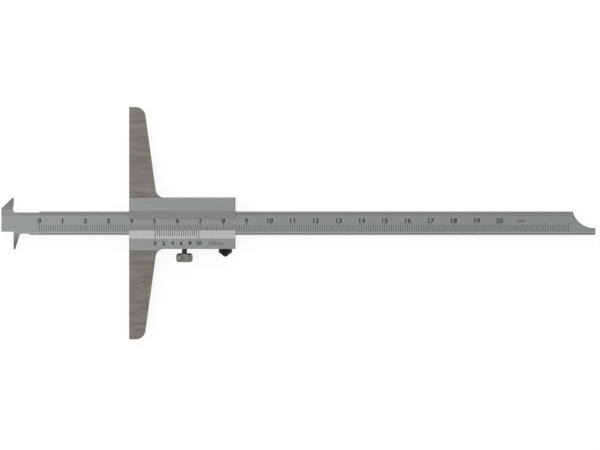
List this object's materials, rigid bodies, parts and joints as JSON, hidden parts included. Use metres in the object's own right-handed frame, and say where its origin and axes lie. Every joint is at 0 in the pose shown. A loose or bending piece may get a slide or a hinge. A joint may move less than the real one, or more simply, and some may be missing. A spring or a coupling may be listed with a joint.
{
  "type": "vernier depth gauge",
  "caption": "Vernier depth gauge: a long scale beam with a double-hook nose and a relieved tip slides in a bridge with a vernier window and a knurled clamp screw.",
  "frame": {"origin": "middle of the bridge's measuring face, on the centreline of the beam", "axes": "+X along the beam from the hooks to the tip, +Y along the bridge towards the upper hook's side, +Z out of the scale face; the gauge lies on its back"},
  "size_m": [0.2583, 0.101, 0.0084],
  "materials": {
    "satin_chrome_beam": "satin chrome plated steel, finely ground",
    "satin_chrome_slider": "satin chrome plated steel",
    "ground_steel": "ground stainless steel, grain along the beam",
    "phosphor_bronze": "rolled phosphor bronze",
    "brass": "turned brass",
    "black_oxide": "black oxide on steel, lightly oiled",
    "nickel_plate": "nickel plated, knurled"
  },
  "bodies": {
    "slider": {"slider_body": "ground_steel", "upper_guide_strip": "satin_chrome_slider", "vernier_strip": "satin_chrome_slider", "upper_strip_screw_1": "black_oxide", "upper_strip_screw_2": "black_oxide", "upper_strip_screw_3": "black_oxide", "vernier_strip_screw_1": "black_oxide", "vernier_strip_screw_2": "black_oxide", "vernier_strip_screw_3": "black_oxide", "gib_strip": "phosphor_bronze", "gib_adjusting_screw_1": "black_oxide", "gib_adjusting_screw_2": "black_oxide", "gib_locating_stud": "black_oxide", "gib_cap_nut": "black_oxide"},
    "beam": {"beam": "satin_chrome_beam"},
    "clamp_pad": {"clamp_pad": "brass"},
    "clamp_screw": {"clamp_stud": "black_oxide", "clamp_knob": "nickel_plate"}
  },
  "joints": [
    {"name": "beam_slide", "type": "slide", "parent": "slider", "child": "beam", "axis": [-1, 0, 0], "range_m": [-0.0473, 0.1497]},
    {"name": "clamp_travel", "type": "slide", "parent": "slider", "child": "clamp_pad", "axis": [0, -1, 0], "range_m": [0, 0.0009]},
    {"name": "clamp_turn", "type": "hinge", "parent": "clamp_pad", "child": "clamp_screw", "pos_m": [0.024, -0.012, 0], "axis": [0, -1, 0], "range_deg": [0, 720]}
  ],
  "couplings": [
    {"joint": "clamp_turn", "follows": "clamp_travel", "rad_per_m": 13963}
  ]
}
